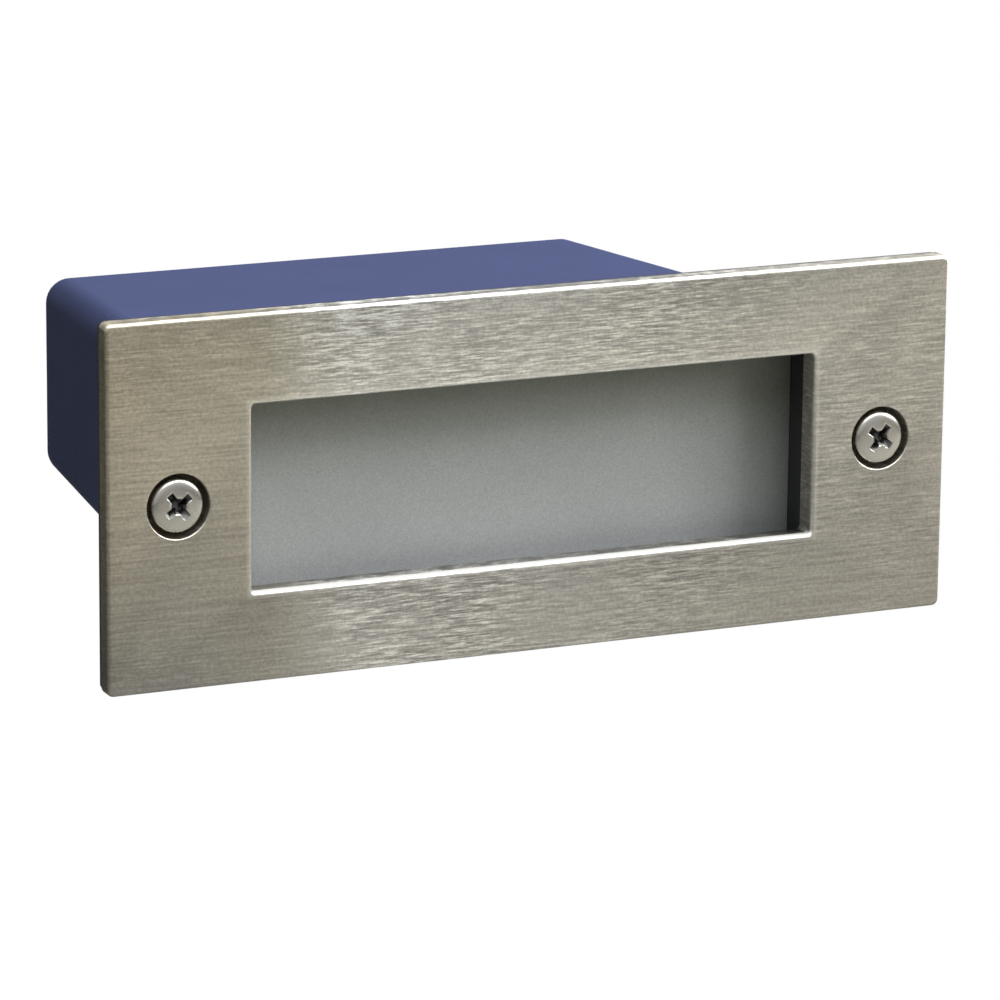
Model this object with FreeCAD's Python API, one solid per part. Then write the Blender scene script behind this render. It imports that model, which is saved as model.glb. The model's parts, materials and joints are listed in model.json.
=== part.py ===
"""Recessed step light: a steel face plate and sealed lamp unit in a moulded wall box.

Millimetres. Y = 0 is the face of the wall, the light shines towards -Y, and +Z is up.
The origin is on the wall's face, at the centre of the light.
"""
import FreeCAD
import Part
import math
import os

# Face plate, a shallow tray pressed from sheet
PLATE_W = 173.0
PLATE_H = 70.0
PLATE_D = 5.0
SHEET = 1.5
TRAY_CORNER = 0.6
PLATE_CORNER = 1.3
PLATE_ROUND = 0.85
WINDOW_W = 116.0
WINDOW_H = 35.7
WINDOW_CORNER = 1.0
LIP_ROUND = 0.5

# Face screws, M5, and the dished holes that they sit in
SCREW_X = 72.5
DISH_R = 6.2
DISH_FLOOR_R = 5.75
DISH_RIM = 0.35
DISH_CLEARANCE = 0.3
SCREW_R = 2.5
SCREW_HOLE_R = 2.75
SCREW_PITCH = 0.8
SCREW_TURNS = 12
HEAD_R = 5.15
HEAD_H = 2.7
HEAD_DOME = 0.35
SHANK_END = 9.4
RING_R = 4.6
RING_T = 0.6
RUN_GAP = 0.05
CROSS_SPAN = 6.0
CROSS_WIDTH = 1.25
CROSS_DEPTH = 2.1
CROSS_TURN = {"left": 38.0, "right": 57.0}

# Wall box
BOX_D = 107.5
BOX_W = 140.0
BOX_H = 47.0
BOX_CORNER = 5.5
BOX_BACK_W = 117.5
BOX_BACK_H = 40.0
BOX_BACK_CORNER = 5.0
BOX_BACK_ROUND = 4.5
BOX_WALL = 2.2
BOX_BACK_WALL = 2.5
RIM_W = 168.0
RIM_H = 62.0
RIM_T = 2.5
RIM_CORNER = 4.0
COLLAR_W = 138.0
COLLAR_H = 54.0
COLLAR_D = 24.0
COLLAR_CORNER = 5.0
BOSS_R = 5.5
BOSS_D = 14.0
BOSS_FLOOR = 1.5
BOSS_WEB = 3.0
INSERT_R = 3.5
INSERT_FROM = 0.3
INSERT_TO = 8.3
ENTRY_X = 24.0
ENTRY_R = 10.0
FIXING_X = 45.0
FIXING_R = 2.25
FIXING_PAD_R = 5.0
FIXING_PAD_T = 2.0
SEAL_LIP_R = 12.0
SEAL_LIP_T = 1.6
SEAL_OUTSIDE = 1.4

# Lamp frame and glass
FLANGE_W = 165.0
FLANGE_H = 58.0
FLANGE_CORNER = 3.0
WALL_GASKET_T = 1.5
GASKET_INSET = 0.25
GASKET_GROOVE_GAP = 0.4
GASKET_GROOVE_W = 0.6
GASKET_GROOVE_D = 0.7
FRAME_W = 131.0
FRAME_H = 48.0
FRAME_BACK = 13.0
FRAME_CORNER = 3.0
LIP_GAP = 0.2
COLLAR_OPEN_H = 39.6
GLASS_W = 119.6
GLASS_H = 42.4
GLASS_T = 4.0
GLASS_FRONT = 5.4
GLASS_CORNER = 2.0
SEAL_LIP = 0.5
SEAL_WALL = 1.0
POCKET_W = 121.8
POCKET_H = 44.6
POCKET_CORNER = 3.0
SPIGOT_GAP = 0.3

# Lamp body, divider and rear cover
FLANGE_GASKET_T = 0.8
BODY_FLANGE_T = 3.2
BODY_W = 120.4
BODY_H = 38.0
BODY_BACK_W = 113.0
BODY_BACK_H = 33.5
BODY_BACK = 64.0
MOUTH_W = 113.0
MOUTH_H = 33.0
CHAMBER_W = 106.0
CHAMBER_H = 28.0
DIVIDER_FRONT = 42.0
DIVIDER_T = 3.0
COVER_GASKET_T = 0.8
COVER_T = 3.0
COVER_SCREW_X = 50.0
COVER_SCREW_Z = 11.0
COVER_POST_R = 2.8
TAPPED_R = 1.25
TAPPED_CLEAR_R = 1.4
STUD_X = 63.4
STUD_Z = 14.0
STUD_R = 1.5
STUD_HOLE_R = 1.6

# Light source
LED_Z = 6.5
BOARD_W = 103.0
BOARD_H = 12.0
BOARD_T = 1.6
PAD_T = 0.5
CHIP_COUNT = 12
CHIP_PITCH = 7.4
CHIP_W = 3.5
CHIP_H = 2.8
CHIP_T = 0.8
BOARD_SCREW_X = 47.5
REFLECTOR_T = 0.8

# Driver and wiring, in the rear chamber
DRIVER_X = -17.0
DRIVER_W = 52.0
DRIVER_H = 24.0
DRIVER_Y = 50.0
TERMINAL_X = 28.0
TERMINAL_W = 24.0
TERMINAL_H = 12.0
TERMINAL_D = 11.0
TERMINAL_PITCH = 7.5
WIRE_LEVEL = 4.0
WIRE_R = 0.8
WIRE_HOLE_X = -47.5
WIRE_HOLE_Z = -4.0
WIRE_APART = 1.1
EARTH_X = 44.0
EARTH_TAG_T = 0.8

FRONT = -PLATE_D
PLATE_BACK = FRONT + SHEET
FLANGE_BACK = -WALL_GASKET_T
DISH_FLOOR = -SHEET
RING_FRONT = DISH_FLOOR - RING_T
HEAD_FRONT = RING_FRONT - HEAD_H
BODY_FRONT = GLASS_FRONT + GLASS_T + SEAL_LIP
BODY_FLANGE_FRONT = FRAME_BACK + FLANGE_GASKET_T
BODY_FLANGE_BACK = BODY_FLANGE_FRONT + BODY_FLANGE_T
DIVIDER_BACK = DIVIDER_FRONT + DIVIDER_T
COVER_FRONT = BODY_BACK + COVER_GASKET_T
COVER_BACK = COVER_FRONT + COVER_T
ALONG_Y = FreeCAD.Vector(0, 1, 0)

# Cable gland, M16
GLAND_X = 28.0
GLAND_R = 8.0
GLAND_HEX = 20.0
GLAND_HEX_T = 4.5
GLAND_NECK_R = 7.4
GLAND_NECK_BACK = COVER_BACK + 12.0
GLAND_SEAL_R = 5.9
GLAND_SEAL_FRONT = COVER_BACK + 6.0
GLAND_STEM = 6.0
LOCKNUT_T = 4.0
CAP_HEX = 18.0
CAP_FRONT = COVER_BACK + 5.0
CAP_BACK = COVER_BACK + 15.0
CAP_DOME = 3.0
GLAND_BORE = 4.6
GROMMET_BORE = 4.0
GROMMET_NOSE = 9.0
GROMMET_NOSE_R = 5.6
GROMMET_ROOT_R = 8.6
SEAL_CHAMFER = 0.8
PLUG_DENT = 2.0
PLUG_DENT_R = 6.7


def point(x, y, z):
    return FreeCAD.Vector(x, y, z)


def rounded_outline(width, height, corner, y, z=0.0):
    """A rounded rectangle facing the viewer, as four arcs joined by four lines."""
    arcs = []
    for quarter, (side, level) in enumerate([(1, 1), (-1, 1), (-1, -1), (1, -1)]):
        centre_x = side * (width / 2 - corner)
        centre_z = level * (height / 2 - corner) + z
        angles = [math.radians(90 * quarter + step) for step in (0, 45, 90)]
        arcs.append([point(centre_x + corner * math.cos(a), y, centre_z + corner * math.sin(a))
                     for a in angles])
    edges = []
    for arc, following in zip(arcs, arcs[1:] + arcs[:1]):
        edges.append(Part.Arc(*arc).toShape())
        edges.append(Part.LineSegment(arc[2], following[0]).toShape())
    return Part.Wire(edges)


def block(width, height, corner, front, back, z=0.0):
    face = Part.Face(rounded_outline(width, height, corner, front, z))
    return face.extrude(point(0, back - front, 0))


def frame_ring(outer, inner, front, back):
    """A flat ring: outer and inner are each width, height and corner radius."""
    return block(*outer, front, back).cut(block(*inner, front, back))


def taper(front_size, front, back_size, back, front_z=0.0, back_z=0.0):
    """A block whose size changes evenly from front to back."""
    outlines = [rounded_outline(*front_size, front, front_z), rounded_outline(*back_size, back, back_z)]
    return Part.makeLoft(outlines, True, True)


def rod(radius, front, back, x=0.0, z=0.0):
    return Part.makeCylinder(radius, back - front, point(x, front, z), ALONG_Y)


def cone(front_radius, back_radius, front, back, x=0.0, z=0.0):
    return Part.makeCone(front_radius, back_radius, back - front, point(x, front, z), ALONG_Y)


def tube(outer, inner, front, back, x=0.0, z=0.0):
    return rod(outer, front, back, x, z).cut(rod(inner, front, back, x, z))


def hexagon(across_flats, front, back, x, z):
    corner = across_flats / math.sqrt(3)
    corners = [point(x + corner * math.cos(math.radians(60 * i)), front,
                     z + corner * math.sin(math.radians(60 * i))) for i in range(7)]
    return Part.Face(Part.makePolygon(corners)).extrude(point(0, back - front, 0))


def box(x_from, x_to, y_from, y_to, z_from, z_to):
    return Part.makeBox(x_to - x_from, y_to - y_from, z_to - z_from, point(x_from, y_from, z_from))


def turned(profile, x=0.0, z=0.0):
    """A turned piece: profile holds (radius, y) points round an axis along Y."""
    corners = [point(x + radius, y, z) for radius, y in profile]
    face = Part.Face(Part.makePolygon(corners + corners[:1]))
    return face.revolve(point(x, 0, z), ALONG_Y, 360)


def round_edges(solid, radius, y, chosen=lambda centre: True):
    """Round the edges that lie in the plane y."""
    edges = [edge for edge in solid.Edges
             if all(abs(vertex.Y - y) < 1e-4 for vertex in edge.Vertexes)
             and abs(edge.CenterOfMass.y - y) < 1e-4 and chosen(edge.CenterOfMass)]
    return solid.makeFillet(radius, edges)


def both_sides(make):
    return Part.makeCompound([make(-1), make(1)])


def four_corners(make, x, z):
    return Part.makeCompound([make(sx * x, sz * z) for sx in (-1, 1) for sz in (-1, 1)])


def wire_along(corners, radius=WIRE_R):
    """An insulated wire on straight runs, with the widest arcs that its runs allow."""
    edges = []
    start = corners[0]
    for before, corner, after in zip(corners, corners[1:], corners[2:]):
        incoming = corner - before
        outgoing = after - corner
        reach = 0.45 * min(incoming.Length, outgoing.Length)
        half_turn = incoming.getAngle(outgoing) / 2
        bend = reach / math.tan(half_turn)
        incoming.normalize()
        outgoing.normalize()
        inwards = outgoing - incoming
        inwards.normalize()
        arc_start = corner - incoming * reach
        arc_end = corner + outgoing * reach
        arc_middle = corner + inwards * (bend / math.cos(half_turn) - bend)
        edges.append(Part.LineSegment(start, arc_start).toShape())
        edges.append(Part.Arc(arc_start, arc_middle, arc_end).toShape())
        start = arc_end
    edges.append(Part.LineSegment(start, corners[-1]).toShape())
    section = Part.Face(Part.Wire(Part.makeCircle(radius, corners[0], corners[1] - corners[0])))
    return Part.Wire(edges).makePipe(section)


# ---- Fixed in the wall ----

def box_size(y):
    """Outer width, height and corner radius of the tapered box at depth y."""
    share = y / BOX_D
    return (BOX_W + (BOX_BACK_W - BOX_W) * share,
            BOX_H + (BOX_BACK_H - BOX_H) * share,
            BOX_CORNER + (BOX_BACK_CORNER - BOX_CORNER) * share)


def inside(size, wall):
    width, height, corner = size
    return (width - 2 * wall, height - 2 * wall, corner - wall)


def recess_box():
    shoulder = COLLAR_D - BOX_WALL
    tub = taper(box_size(shoulder), shoulder, box_size(BOX_D), BOX_D)
    tub = round_edges(tub, BOX_BACK_ROUND, BOX_D)
    shell = tub.fuse([block(RIM_W, RIM_H, RIM_CORNER, 0, RIM_T),
                      block(COLLAR_W, COLLAR_H, COLLAR_CORNER, 0, COLLAR_D)])
    for side in (-1, 1):
        boss = rod(BOSS_R, 0, BOSS_D, side * SCREW_X)
        web = box(side * SCREW_X - BOSS_R, side * SCREW_X + BOSS_R, 0, BOSS_D, -BOSS_WEB / 2, BOSS_WEB / 2)
        shell = shell.fuse([boss, web])
    floor = BOX_D - BOX_BACK_WALL
    shell = shell.cut(block(*inside((COLLAR_W, COLLAR_H, COLLAR_CORNER), BOX_WALL), 0, shoulder))
    shell = shell.cut(taper(inside(box_size(shoulder), BOX_WALL), shoulder,
                            inside(box_size(floor), BOX_WALL), floor))
    for side in (-1, 1):
        shell = shell.cut([rod(INSERT_R, 0, INSERT_TO, side * SCREW_X),
                           rod(SCREW_HOLE_R, INSERT_TO, BOSS_D - BOSS_FLOOR, side * SCREW_X),
                           rod(ENTRY_R, floor, BOX_D, side * ENTRY_X)])
        pad = rod(FIXING_PAD_R, floor - FIXING_PAD_T, BOX_D - BOX_BACK_WALL / 2, side * FIXING_X)
        shell = shell.fuse(pad)
        shell = shell.cut(rod(FIXING_R, floor - FIXING_PAD_T, BOX_D, side * FIXING_X))
    return shell.removeSplitter()


def screw_insert(side):
    bush = tube(INSERT_R, SCREW_R + RUN_GAP, INSERT_FROM, INSERT_TO, side * SCREW_X)
    groove = tube(INSERT_R, INSERT_R - 0.5, 3.6, 5.0, side * SCREW_X)
    return bush.cut(groove)


def cable_grommet():
    """Two lips grip the wall, and a tapered nose closes on the cable."""
    floor = BOX_D - BOX_BACK_WALL
    lip_front = floor - SEAL_LIP_T
    nose = floor - GROMMET_NOSE
    outside = BOX_D + SEAL_OUTSIDE
    profile = [(GROMMET_BORE, nose), (GROMMET_NOSE_R, nose), (GROMMET_ROOT_R, lip_front),
               (SEAL_LIP_R, lip_front), (SEAL_LIP_R, floor), (ENTRY_R, floor), (ENTRY_R, BOX_D),
               (SEAL_LIP_R, BOX_D), (SEAL_LIP_R - SEAL_CHAMFER, outside), (GROMMET_BORE, outside)]
    return turned(profile, -ENTRY_X)


def blanking_plug():
    floor = BOX_D - BOX_BACK_WALL
    lip_front = floor - SEAL_LIP_T
    outside = BOX_D + SEAL_OUTSIDE
    profile = [(0, lip_front), (SEAL_LIP_R - SEAL_CHAMFER, lip_front), (SEAL_LIP_R, lip_front + SEAL_CHAMFER),
               (SEAL_LIP_R, floor), (ENTRY_R, floor), (ENTRY_R, BOX_D), (SEAL_LIP_R, BOX_D),
               (SEAL_LIP_R - SEAL_CHAMFER, outside), (PLUG_DENT_R, outside),
               (PLUG_DENT_R, outside - PLUG_DENT), (0, outside - PLUG_DENT)]
    return turned(profile, ENTRY_X)


# ---- Lamp unit: plate, frame and glass ----

def face_plate():
    """A tray whose edge stands on the wall gasket; its window lip and dishes reach the wall's face."""
    plate = block(PLATE_W, PLATE_H, PLATE_CORNER, FRONT, FLANGE_BACK)
    plate = round_edges(plate, PLATE_ROUND, FRONT)
    plate = plate.cut(block(PLATE_W - 2 * SHEET, PLATE_H - 2 * SHEET, TRAY_CORNER, PLATE_BACK, FLANGE_BACK))
    lip = block(WINDOW_W + 2 * SHEET, WINDOW_H + 2 * SHEET, WINDOW_CORNER + SHEET, PLATE_BACK, 0)
    dishes = [cone(DISH_R + SHEET, DISH_FLOOR_R + SHEET, PLATE_BACK, 0, side * SCREW_X) for side in (-1, 1)]
    plate = plate.fuse([lip] + dishes)
    plate = plate.cut(block(WINDOW_W, WINDOW_H, WINDOW_CORNER, FRONT, 0))
    for side in (-1, 1):
        plate = plate.cut([cone(DISH_R, DISH_FLOOR_R, FRONT, DISH_FLOOR, side * SCREW_X),
                           rod(SCREW_HOLE_R, DISH_FLOOR, 0, side * SCREW_X)])
    plate = round_edges(plate, LIP_ROUND, FRONT,
                        lambda c: abs(c.x) < WINDOW_W / 2 + 0.01 and abs(c.z) < WINDOW_H / 2 + 0.01)
    return round_edges(plate, DISH_RIM, FRONT,
                       lambda c: abs(abs(c.x) - SCREW_X) < DISH_R + 0.01 and abs(c.z) < DISH_R + 0.01)


def wall_gasket():
    """Lies on the box's rim and, outside a groove round the rim, on the wall's face."""
    outer = (PLATE_W - 2 * GASKET_INSET, PLATE_H - 2 * GASKET_INSET, PLATE_CORNER)
    ring = frame_ring(outer, (FRAME_W + 1.0, FRAME_H + 1.0, FRAME_CORNER), FLANGE_BACK, 0)
    inner_edge = inside((RIM_W, RIM_H, RIM_CORNER), -GASKET_GROOVE_GAP)
    ring = ring.cut(frame_ring(inside(inner_edge, -GASKET_GROOVE_W), inner_edge, -GASKET_GROOVE_D, 0))
    return ring.cut([rod(DISH_R + SHEET + DISH_CLEARANCE, FLANGE_BACK, 0, side * SCREW_X)
                     for side in (-1, 1)])


def lamp_frame():
    """Holds the glass behind the window; its collar is flush with the window's ends but taller."""
    lip_hole = (WINDOW_W + 2 * SHEET + 2 * LIP_GAP, WINDOW_H + 2 * SHEET + 2 * LIP_GAP,
                WINDOW_CORNER + SHEET + LIP_GAP)
    frame = block(FLANGE_W, FLANGE_H, FLANGE_CORNER, PLATE_BACK, FLANGE_BACK)
    frame = frame.fuse(block(FRAME_W, FRAME_H, FRAME_CORNER, FLANGE_BACK, FRAME_BACK))
    pocket_front = GLASS_FRONT - SEAL_LIP
    frame = frame.cut([block(*lip_hole, PLATE_BACK, 0),
                       block(WINDOW_W, COLLAR_OPEN_H, WINDOW_CORNER, 0, pocket_front),
                       block(POCKET_W, POCKET_H, POCKET_CORNER, pocket_front, FRAME_BACK)])
    for side in (-1, 1):
        frame = frame.cut(rod(DISH_R + SHEET + DISH_CLEARANCE, PLATE_BACK, 0, side * SCREW_X))
    return frame.cut(four_corners(lambda x, z: rod(STUD_HOLE_R, PLATE_BACK, FRAME_BACK, x, z),
                                  STUD_X, STUD_Z))


def glass_seal():
    """A channel round the edge of the pane, open towards its middle."""
    outer = (GLASS_W + 2 * SEAL_WALL, GLASS_H + 2 * SEAL_WALL, GLASS_CORNER + SEAL_WALL)
    front = GLASS_FRONT - SEAL_LIP
    ring = frame_ring(outer, (WINDOW_W, COLLAR_OPEN_H, WINDOW_CORNER), front, BODY_FRONT)
    return ring.cut(block(GLASS_W, GLASS_H, GLASS_CORNER, GLASS_FRONT, GLASS_FRONT + GLASS_T))


def lens_glass():
    return block(GLASS_W, GLASS_H, GLASS_CORNER, GLASS_FRONT, GLASS_FRONT + GLASS_T)


def plate_stud(x, z):
    return rod(STUD_R, PLATE_BACK, BODY_FLANGE_BACK + 4.0, x, z)


def stud_washer(x, z):
    return tube(2.9, STUD_HOLE_R, BODY_FLANGE_BACK, BODY_FLANGE_BACK + 0.5, x, z)


def stud_nut(x, z):
    front = BODY_FLANGE_BACK + 0.5
    return hexagon(5.0, front, front + 2.4, x, z).cut(rod(STUD_R, front, front + 2.4, x, z))


# ---- Lamp unit: body, light source and reflector ----

def lamp_body():
    spigot = (POCKET_W - 2 * SPIGOT_GAP, POCKET_H - 2 * SPIGOT_GAP, POCKET_CORNER - SPIGOT_GAP)
    body = block(*spigot, BODY_FRONT, BODY_FLANGE_FRONT)
    shell = taper((BODY_W, BODY_H, 4.0), BODY_FLANGE_BACK, (BODY_BACK_W, BODY_BACK_H, 4.0), BODY_BACK)
    body = body.fuse([block(FRAME_W, FRAME_H, FRAME_CORNER, BODY_FLANGE_FRONT, BODY_FLANGE_BACK), shell])
    body = body.cut([taper((MOUTH_W, MOUTH_H, 2.5), BODY_FRONT, (CHAMBER_W, CHAMBER_H, 2.5), DIVIDER_FRONT),
                     block(CHAMBER_W, CHAMBER_H, 2.5, DIVIDER_BACK, BODY_BACK)])
    body = body.fuse(four_corners(lambda x, z: cover_boss(x, z, DIVIDER_BACK, BODY_BACK),
                                  COVER_SCREW_X, COVER_SCREW_Z).Solids)
    body = body.cut(four_corners(lambda x, z: rod(TAPPED_R, BODY_BACK - 9.0, BODY_BACK, x, z),
                                 COVER_SCREW_X, COVER_SCREW_Z))
    body = body.cut(four_corners(lambda x, z: rod(STUD_HOLE_R, BODY_FLANGE_FRONT, BODY_FLANGE_BACK, x, z),
                                 STUD_X, STUD_Z))
    body = body.cut(rod(3.0, DIVIDER_FRONT, DIVIDER_BACK, WIRE_HOLE_X, WIRE_HOLE_Z))
    body = body.cut([rod(TAPPED_R, DIVIDER_FRONT, DIVIDER_BACK, side * BOARD_SCREW_X, LED_Z)
                     for side in (-1, 1)])
    body = body.cut(rod(2.0, DIVIDER_FRONT + 0.5, DIVIDER_BACK, EARTH_X))
    return body.removeSplitter()


def cover_boss(x, z, front, back):
    """A screw post that runs out into the corner of the rear chamber."""
    post = rod(COVER_POST_R, front, back, x, z)
    corner_x = math.copysign(CHAMBER_W / 2 + 0.5, x)
    corner_z = math.copysign(CHAMBER_H / 2 + 0.5, z)
    beside = box(*sorted((x, corner_x)), front, back, *sorted((z - math.copysign(COVER_POST_R, z), corner_z)))
    above = box(*sorted((x - math.copysign(COVER_POST_R, x), corner_x)), front, back, *sorted((z, corner_z)))
    return post.fuse([beside, above])


def flange_gasket():
    inner = (POCKET_W + 2 * LIP_GAP, POCKET_H + 2 * LIP_GAP, POCKET_CORNER)
    ring = frame_ring((FRAME_W, FRAME_H, FRAME_CORNER), inner, FRAME_BACK, BODY_FLANGE_FRONT)
    return ring.cut(four_corners(lambda x, z: rod(STUD_HOLE_R, FRAME_BACK, BODY_FLANGE_FRONT, x, z),
                                 STUD_X, STUD_Z))


def reflector():
    """A bright trough that narrows towards the row of lamps, which sits high to throw light down."""
    front = BODY_FRONT + 0.3
    back = DIVIDER_FRONT - PAD_T - BOARD_T - CHIP_T - 0.5
    mouth = (MOUTH_W - 2.6, MOUTH_H - 2.6, 2.0)
    throat = (88.0, 10.0, 1.5)
    shell = taper(mouth, front, throat, back, 0.0, LED_Z)
    hollow = taper(inside(mouth, REFLECTOR_T), front, inside(throat, REFLECTOR_T), back, 0.0, LED_Z)
    return shell.cut(hollow)


def heat_pad():
    pad = block(BOARD_W, BOARD_H, 1.0, DIVIDER_FRONT - PAD_T, DIVIDER_FRONT, LED_Z)
    return pad.cut([rod(1.6, DIVIDER_FRONT - PAD_T, DIVIDER_FRONT, side * BOARD_SCREW_X, LED_Z)
                    for side in (-1, 1)])


def led_board():
    back = DIVIDER_FRONT - PAD_T
    board = block(BOARD_W, BOARD_H, 1.0, back - BOARD_T, back, LED_Z)
    return board.cut([rod(1.5, back - BOARD_T, back, side * BOARD_SCREW_X, LED_Z) for side in (-1, 1)])


def led_chips():
    back = DIVIDER_FRONT - PAD_T - BOARD_T
    chips = []
    for number in range(CHIP_COUNT):
        x = (number - (CHIP_COUNT - 1) / 2) * CHIP_PITCH
        chips.append(box(x - CHIP_W / 2, x + CHIP_W / 2, back - CHIP_T, back,
                         LED_Z - CHIP_H / 2, LED_Z + CHIP_H / 2))
    return Part.makeCompound(chips)


def board_screw(side):
    head_back = DIVIDER_FRONT - PAD_T - BOARD_T
    head = cone(1.6, 2.3, head_back - 1.5, head_back, side * BOARD_SCREW_X, LED_Z)
    return head.fuse(rod(TAPPED_R, head_back, DIVIDER_BACK - 0.4, side * BOARD_SCREW_X, LED_Z))


# ---- Lamp unit: rear cover, driver and wiring ----

def cover_gasket():
    ring = frame_ring((BODY_BACK_W, BODY_BACK_H, 4.0), (CHAMBER_W, CHAMBER_H, 2.5), BODY_BACK, COVER_FRONT)
    lugs = four_corners(lambda x, z: cover_boss(x, z, BODY_BACK, COVER_FRONT), COVER_SCREW_X, COVER_SCREW_Z)
    holes = four_corners(lambda x, z: rod(TAPPED_CLEAR_R, BODY_BACK, COVER_FRONT, x, z),
                         COVER_SCREW_X, COVER_SCREW_Z)
    return ring.fuse(lugs.Solids).cut(holes).removeSplitter()


def rear_cover():
    cover = block(BODY_BACK_W, BODY_BACK_H, 4.0, COVER_FRONT, COVER_BACK)
    cover = round_edges(cover, 1.0, COVER_BACK)
    cover = cover.cut(rod(GLAND_R, COVER_FRONT, COVER_BACK, GLAND_X))
    return cover.cut(four_corners(lambda x, z: rod(TAPPED_CLEAR_R, COVER_FRONT, COVER_BACK, x, z),
                                  COVER_SCREW_X, COVER_SCREW_Z))


def cover_screw(x, z):
    head = cone(2.5, 1.9, COVER_BACK, COVER_BACK + 1.6, x, z)
    slot = box(x - 2.6, x + 2.6, COVER_BACK + 0.8, COVER_BACK + 1.6, z - 0.35, z + 0.35)
    return head.fuse(rod(TAPPED_R, BODY_BACK - 5.0, COVER_BACK, x, z)).cut(slot)


def gland_body():
    stem_front = COVER_FRONT - GLAND_STEM
    hexed = hexagon(GLAND_HEX, COVER_BACK, COVER_BACK + GLAND_HEX_T, GLAND_X, 0)
    stem = rod(GLAND_R, stem_front, COVER_BACK, GLAND_X)
    neck = rod(GLAND_NECK_R, COVER_BACK + GLAND_HEX_T, GLAND_NECK_BACK, GLAND_X)
    return hexed.fuse([stem, neck]).cut([rod(GLAND_BORE, stem_front, GLAND_SEAL_FRONT, GLAND_X),
                                         rod(GLAND_SEAL_R, GLAND_SEAL_FRONT, GLAND_NECK_BACK, GLAND_X)])


def gland_locknut():
    front = COVER_FRONT - LOCKNUT_T
    return hexagon(GLAND_HEX, front, COVER_FRONT, GLAND_X, 0).cut(rod(GLAND_R, front, COVER_FRONT, GLAND_X))


def gland_seal():
    return tube(GLAND_SEAL_R, GLAND_BORE, GLAND_SEAL_FRONT, GLAND_NECK_BACK, GLAND_X)


def gland_nut():
    """A domed cap that squeezes the seal onto the cable."""
    cap = hexagon(CAP_HEX, CAP_FRONT, CAP_BACK - CAP_DOME, GLAND_X, 0)
    cap = cap.fuse(cone(8.8, 6.2, CAP_BACK - CAP_DOME, CAP_BACK, GLAND_X))
    return cap.cut([rod(GLAND_NECK_R, CAP_FRONT, GLAND_NECK_BACK, GLAND_X),
                    rod(GLAND_BORE, CAP_FRONT, CAP_BACK, GLAND_X)])


def driver_board():
    return box(DRIVER_X - DRIVER_W / 2, DRIVER_X + DRIVER_W / 2, DRIVER_Y, DRIVER_Y + BOARD_T,
               -DRIVER_H / 2, DRIVER_H / 2)


def driver_spacers():
    """Four posts that stand the driver's board off the divider."""
    return four_corners(lambda x, z: rod(2.2, DIVIDER_BACK, DRIVER_Y, DRIVER_X + x, z),
                        DRIVER_W / 2 - 4.0, DRIVER_H / 2 - 3.5)


def transformer():
    """A wound core: bobbin flanges, a winding, and the core's two outer limbs."""
    base = DRIVER_Y + BOARD_T
    middle = DRIVER_X - 6.0
    limbs = [box(middle - 8.0, middle + 8.0, base, base + 10.0, level - 1.5, level + 1.5)
             for level in (-8.0, 8.0)]
    flanges = [box(middle + end - 0.6, middle + end + 0.6, base, base + 10.0, -6.5, 6.5)
               for end in (-7.4, 7.4)]
    winding = Part.makeCylinder(4.6, 13.6, point(middle - 6.8, base + 5.0, 0), point(1, 0, 0))
    return winding.fuse(limbs + flanges)


def capacitors():
    base = DRIVER_Y + BOARD_T
    tall = rod(4.0, base, base + 10.0, DRIVER_X + 15.0, 4.5)
    short = rod(3.2, base, base + 8.0, DRIVER_X + 14.0, -5.5)
    flat = box(DRIVER_X - 25.0, DRIVER_X - 20.0, base, base + 7.0, -6.5, 6.5)
    return Part.makeCompound([tall, short, flat])


def terminal_poles():
    return [TERMINAL_X + offset * TERMINAL_PITCH for offset in (-1, 0, 1)]


def terminal_block():
    back = DIVIDER_BACK + TERMINAL_D
    body = box(TERMINAL_X - TERMINAL_W / 2, TERMINAL_X + TERMINAL_W / 2, DIVIDER_BACK, back,
               -TERMINAL_H / 2, TERMINAL_H / 2)
    for x in terminal_poles():
        level = DIVIDER_BACK + WIRE_LEVEL
        entry = Part.makeCylinder(1.7, TERMINAL_H, point(x, level, -TERMINAL_H / 2), point(0, 0, 1))
        body = body.cut([entry, rod(2.1, level, back, x)])
    for x in (TERMINAL_X - TERMINAL_PITCH / 2, TERMINAL_X + TERMINAL_PITCH / 2):
        body = body.cut(box(x - 0.5, x + 0.5, back - 3.0, back, -TERMINAL_H / 2, TERMINAL_H / 2))
    return body


def terminal_screws():
    screws = []
    for x in terminal_poles():
        screw = rod(2.0, DIVIDER_BACK + 6.2, DIVIDER_BACK + 10.0, x)
        slot = box(x - 2.1, x + 2.1, DIVIDER_BACK + 9.2, DIVIDER_BACK + 10.0, -0.35, 0.35)
        screws.append(screw.cut(slot))
    return Part.makeCompound(screws)


def supply_wire(pole, board_z):
    """From a pole of the terminal block, round to the edge of the driver's board."""
    pole_x = terminal_poles()[pole]
    level = DIVIDER_BACK + WIRE_LEVEL
    board_edge = DRIVER_X + DRIVER_W / 2 - 3.0
    side = math.copysign(1.0, board_z)
    return wire_along([point(pole_x, level, side * 3.0), point(pole_x, level, side * 10.5),
                       point(board_edge + 7.0, level + 5.0, side * 10.5),
                       point(board_edge, DRIVER_Y + BOARD_T + 3.0, board_z),
                       point(board_edge, DRIVER_Y + BOARD_T, board_z)])


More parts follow.
